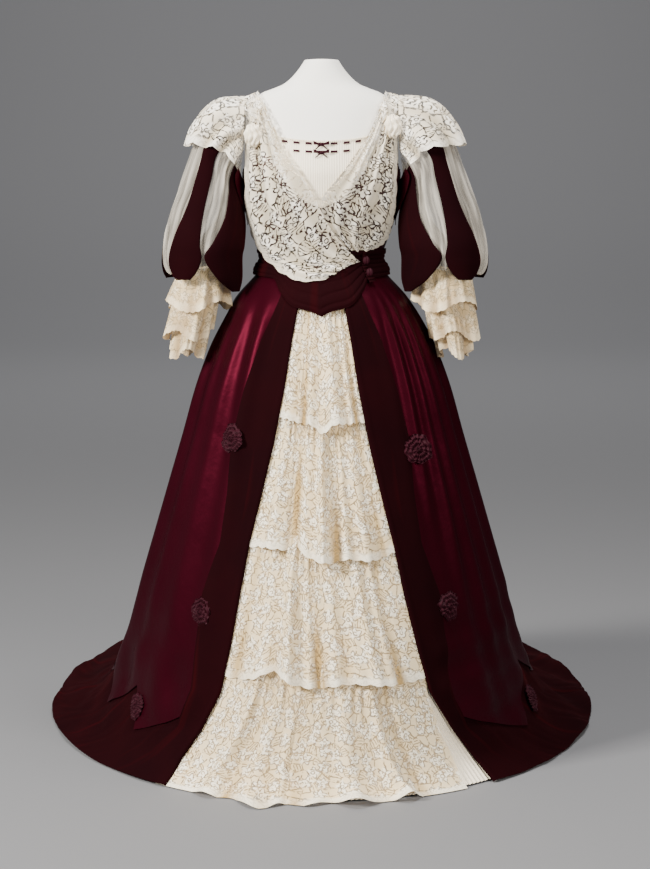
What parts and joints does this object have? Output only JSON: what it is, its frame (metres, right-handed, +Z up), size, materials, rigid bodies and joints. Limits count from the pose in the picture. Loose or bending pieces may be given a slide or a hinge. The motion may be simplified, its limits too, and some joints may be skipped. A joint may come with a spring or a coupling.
{
  "type": "evening dress on a dress form",
  "caption": "Burgundy satin and velvet evening dress with cream lace front, slashed puff sleeves, draped belt and a train, worn by a limbless dress form on a pole stand",
  "frame": {"origin": "on the floor, under the middle of the stand's pole and base", "axes": "+Z up, the dress faces -Y, the train runs to +Y, +X is the wearer's left"},
  "size_m": [1.2205, 1.803, 1.432],
  "materials": {
    "satin": "satin",
    "velvet": "matte",
    "lace": "matte",
    "sheer": "matte",
    "ribbon": "satin",
    "form": "matte",
    "stand": "satin"
  },
  "bodies": {
    "root": {"bodice": "satin", "satin_side_left": "satin", "satin_side_right": "satin", "satin_train": "satin", "belt": "velvet", "belt_closure": "velvet", "front_border_left": "velvet", "front_border_right": "velvet", "hem_border_left": "velvet", "hem_border_right": "velvet", "sleeve_left_strip_1": "velvet", "sleeve_left_strip_2": "velvet", "sleeve_left_strip_3": "velvet", "sleeve_left_strip_4": "velvet", "sleeve_right_strip_1": "velvet", "sleeve_right_strip_2": "velvet", "sleeve_right_strip_3": "velvet", "sleeve_right_strip_4": "velvet", "chemisette": "lace", "cuff_left_1": "lace", "cuff_left_2": "lace", "cuff_left_3": "lace", "cuff_right_1": "lace", "cuff_right_2": "lace", "cuff_right_3": "lace", "lace_back": "lace", "lace_front_left": "lace", "lace_front_right": "lace", "lace_knot_left": "lace", "lace_knot_right": "lace", "lace_tier_1": "lace", "lace_tier_2": "lace", "lace_tier_3": "lace", "lace_tier_4": "lace", "pleated_flounce": "lace", "shoulder_frill_left": "lace", "shoulder_frill_right": "lace", "underskirt_front": "lace", "sleeve_left": "sheer", "sleeve_right": "sheer", "bow_lower": "ribbon", "bow_upper": "ribbon", "ribbon_lower": "ribbon", "ribbon_upper": "ribbon", "rosette_1": "ribbon", "rosette_2": "ribbon", "rosette_3": "ribbon", "rosette_4": "ribbon", "rosette_5": "ribbon", "rosette_6": "ribbon", "dress_form": "form", "stand_base": "stand", "stand_pole": "stand"}
  },
  "joints": []
}
